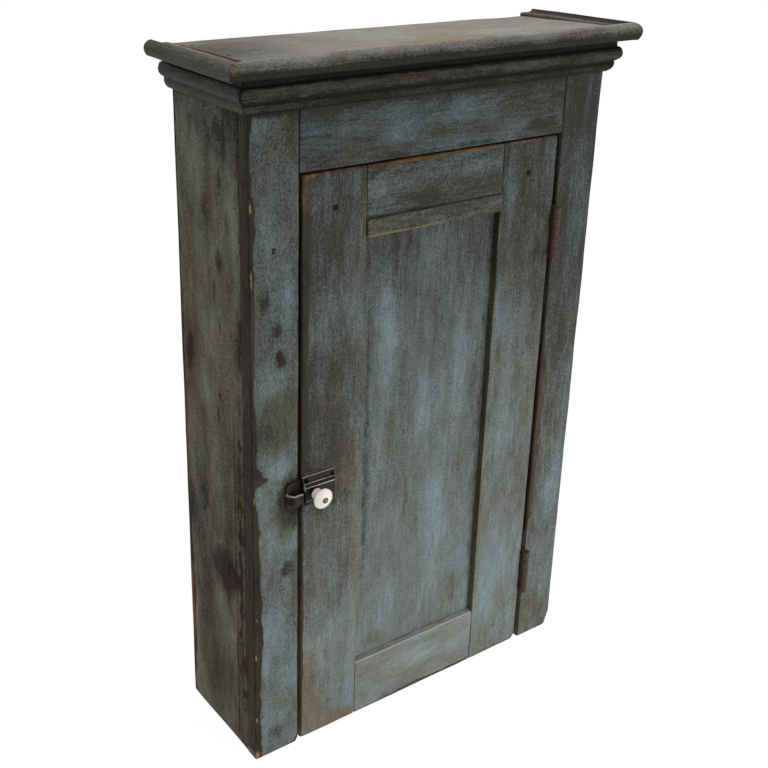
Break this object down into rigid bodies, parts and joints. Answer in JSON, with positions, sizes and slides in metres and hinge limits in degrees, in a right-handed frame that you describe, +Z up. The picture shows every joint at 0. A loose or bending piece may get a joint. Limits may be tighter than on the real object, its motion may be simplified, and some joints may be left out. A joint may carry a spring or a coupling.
{
  "type": "hanging wall cupboard",
  "caption": "Narrow painted wall cupboard with a moulded bullnose cornice, a panelled door on butt hinges and a cast turn latch with a porcelain knob.",
  "frame": {"origin": "midway between the two hanging screw holes, on the wall plane at the back of the cupboard", "axes": "+X to the right of someone facing the door, +Y into the wall, +Z up"},
  "size_m": [0.548, 0.1869, 0.839],
  "materials": {
    "painted_pine": "worn milk paint",
    "bare_pine": "old unpainted pine",
    "nail_iron": "rusted",
    "rusted_hinge_iron": "rusted, painted over",
    "black_cast_iron": "japanned black",
    "white_porcelain": "glazed",
    "brown_rivet_iron": "rusted"
  },
  "bodies": {
    "case": {"left_side": "painted_pine", "right_side": "painted_pine", "left_stile": "painted_pine", "right_stile": "painted_pine", "frame_top_rail": "painted_pine", "top_board": "painted_pine", "left_top_return": "painted_pine", "right_top_return": "painted_pine", "bed_mould_front": "painted_pine", "bed_mould_left": "painted_pine", "bed_mould_right": "painted_pine", "back_board_left": "bare_pine", "back_board_middle": "bare_pine", "back_board_right": "bare_pine", "case_bottom": "bare_pine", "lower_shelf": "bare_pine", "upper_shelf": "bare_pine", "hanging_rail": "bare_pine", "frame_nails": "nail_iron", "back_nails": "nail_iron", "top_nails": "nail_iron", "upper_hinge_case_leaf": "rusted_hinge_iron", "upper_hinge_pin": "rusted_hinge_iron", "lower_hinge_case_leaf": "rusted_hinge_iron", "lower_hinge_pin": "rusted_hinge_iron", "case_hinge_screws": "rusted_hinge_iron", "keeper": "black_cast_iron", "keeper_screws": "black_cast_iron"},
    "door": {"lock_stile": "painted_pine", "hinge_stile": "painted_pine", "door_top_rail": "painted_pine", "door_bottom_rail": "painted_pine", "door_panel": "painted_pine", "door_rail_strip": "painted_pine", "door_pegs": "bare_pine", "rail_strip_brads": "nail_iron", "upper_hinge_door_leaf": "rusted_hinge_iron", "lower_hinge_door_leaf": "rusted_hinge_iron", "door_hinge_screws": "rusted_hinge_iron", "latch_case": "black_cast_iron", "latch_screws": "black_cast_iron"},
    "latch_knob": {"knob_spindle": "black_cast_iron", "porcelain_knob": "white_porcelain", "knob_rivet": "brown_rivet_iron"},
    "latch_bolt": {"latch_bolt": "black_cast_iron"}
  },
  "joints": [
    {"name": "door_swing", "type": "hinge", "parent": "case", "child": "door", "pos_m": [0.1787, -0.1616, -0.4322], "axis": [0, 0, 1], "range_deg": [0, 170]},
    {"name": "knob_turn", "type": "hinge", "parent": "door", "child": "latch_knob", "pos_m": [-0.1655, -0.165, -0.437], "axis": [0, 1, 0], "range_deg": [0, 80]},
    {"name": "bolt_throw", "type": "slide", "parent": "door", "child": "latch_bolt", "axis": [-1, 0, 0], "range_m": [0, 0.00644]}
  ],
  "couplings": [
    {"joint": "bolt_throw", "follows": "knob_turn", "m_per_rad": 0.0046036}
  ]
}
